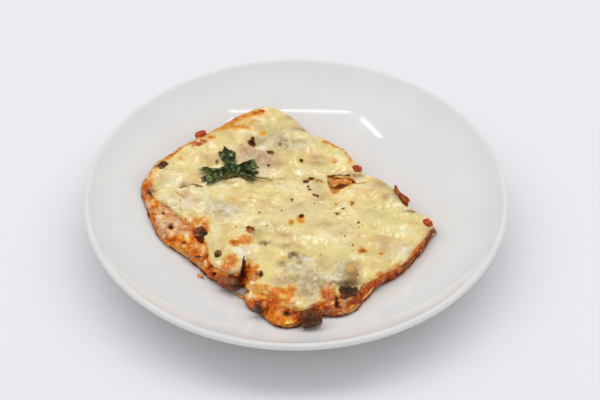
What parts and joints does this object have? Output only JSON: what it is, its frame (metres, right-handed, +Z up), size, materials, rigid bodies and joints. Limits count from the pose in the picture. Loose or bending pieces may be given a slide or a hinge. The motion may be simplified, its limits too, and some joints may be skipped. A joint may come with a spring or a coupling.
{
  "type": "lasagne slice",
  "caption": "Portion of layered lasagne with melted cheese and a parsley sprig, served in a round white coupe plate with a low foot ring.",
  "frame": {"origin": "centre of the plate's foot ring, on the table", "axes": "+Z up through the plate's centre; -Y is the side nearest the viewer, where the slice's broken corner points"},
  "size_m": [0.25, 0.25, 0.033],
  "materials": {
    "porcelain": "gloss",
    "tomato_sauce": "satin",
    "pasta": "satin",
    "meat_filling": "satin",
    "melted_cheese": "satin",
    "aubergine": "satin",
    "mushroom": "satin",
    "red_pepper": "satin",
    "caper": "satin",
    "parsley": "satin"
  },
  "bodies": {
    "root": {"plate": "porcelain", "sauce_lower": "tomato_sauce", "pasta_lower": "pasta", "meat_filling": "meat_filling", "pasta_upper": "pasta", "cheese_top": "melted_cheese", "pasta_fold": "pasta", "aubergine_front": "aubergine", "aubergine_left": "aubergine", "mushroom_front": "mushroom", "mushroom_cleft": "mushroom", "mushroom_notch": "mushroom", "mushroom_side": "mushroom", "pepper_right": "red_pepper", "pepper_notch": "red_pepper", "pepper_back": "red_pepper", "pepper_flake": "red_pepper", "caper": "caper", "parsley_leaf": "parsley", "parsley_stem": "parsley"}
  },
  "joints": []
}
